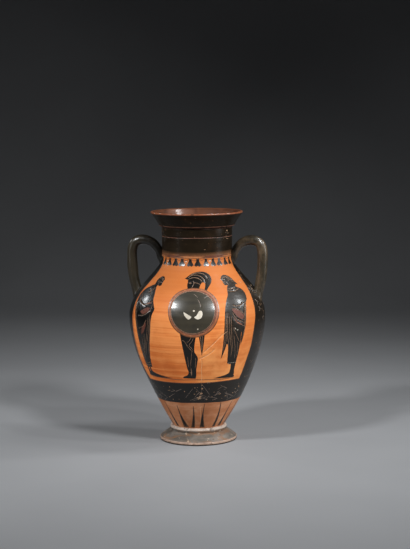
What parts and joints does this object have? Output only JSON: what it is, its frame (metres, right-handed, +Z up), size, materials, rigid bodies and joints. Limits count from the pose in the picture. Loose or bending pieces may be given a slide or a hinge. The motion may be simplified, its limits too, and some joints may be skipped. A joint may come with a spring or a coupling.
{
  "type": "black-figure amphora",
  "caption": "Wheel-thrown clay storage jar with a spreading foot, full shoulder, wide neck, flaring mouth and upright handles from neck to shoulder, painted with figures in panels.",
  "frame": {"origin": "on the wheel's axis, in the plane that the foot rests on", "axes": "+Z up along the wheel's axis, +X to the right handle, -Y towards the front panel"},
  "size_m": [0.1728, 0.1662, 0.28],
  "materials": {
    "glossed_clay": "black gloss slip over fired orange clay, semi-gloss, with reserved matt clay panels"
  },
  "bodies": {
    "root": {"amphora": "glossed_clay"}
  },
  "joints": []
}
